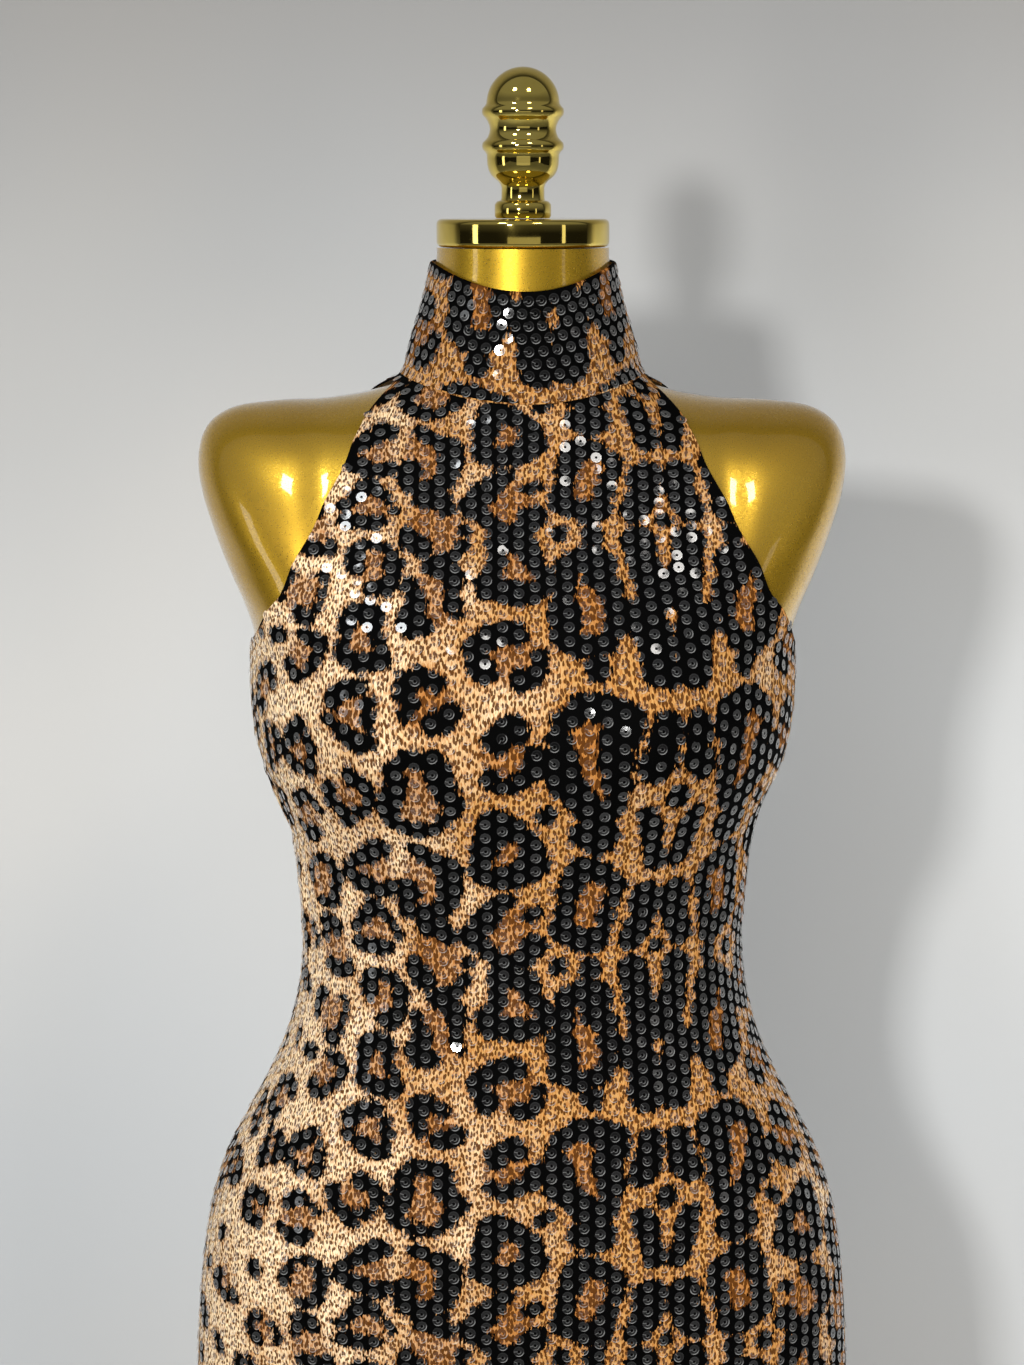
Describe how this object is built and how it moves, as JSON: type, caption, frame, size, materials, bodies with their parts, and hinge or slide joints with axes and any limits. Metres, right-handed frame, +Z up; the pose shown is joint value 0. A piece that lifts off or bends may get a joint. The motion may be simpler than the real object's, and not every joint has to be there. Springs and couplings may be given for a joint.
{
  "type": "sequin halter maxi dress on a limbless dress form",
  "caption": "High-necked halter maxi dress of spotted sequin cloth, fitted to the hip, on a gold dress form with a turned finial and a round base.",
  "frame": {"origin": "centre of the round base's underside, on the floor, on the pole's axis", "axes": "+Z up along the pole, -Y to the wearer's front, +X to the wearer's left"},
  "size_m": [0.457, 0.3809, 1.5793],
  "materials": {
    "sequin_cloth": "printed stretch cloth covered with clear cup sequins",
    "gold_lacquer": "glossy gold lacquer",
    "polished_gold": "mirror polished"
  },
  "bodies": {
    "root": {"dress_front": "sequin_cloth", "dress_back_left": "sequin_cloth", "dress_back_right": "sequin_cloth", "collar": "sequin_cloth", "collar_button_1": "sequin_cloth", "collar_button_2": "sequin_cloth", "collar_button_3": "sequin_cloth", "form_torso": "gold_lacquer", "neck_plate": "polished_gold", "finial": "polished_gold", "form_socket": "polished_gold", "stand_pole": "polished_gold", "stand_boss": "polished_gold", "stand_base": "polished_gold"}
  },
  "joints": []
}
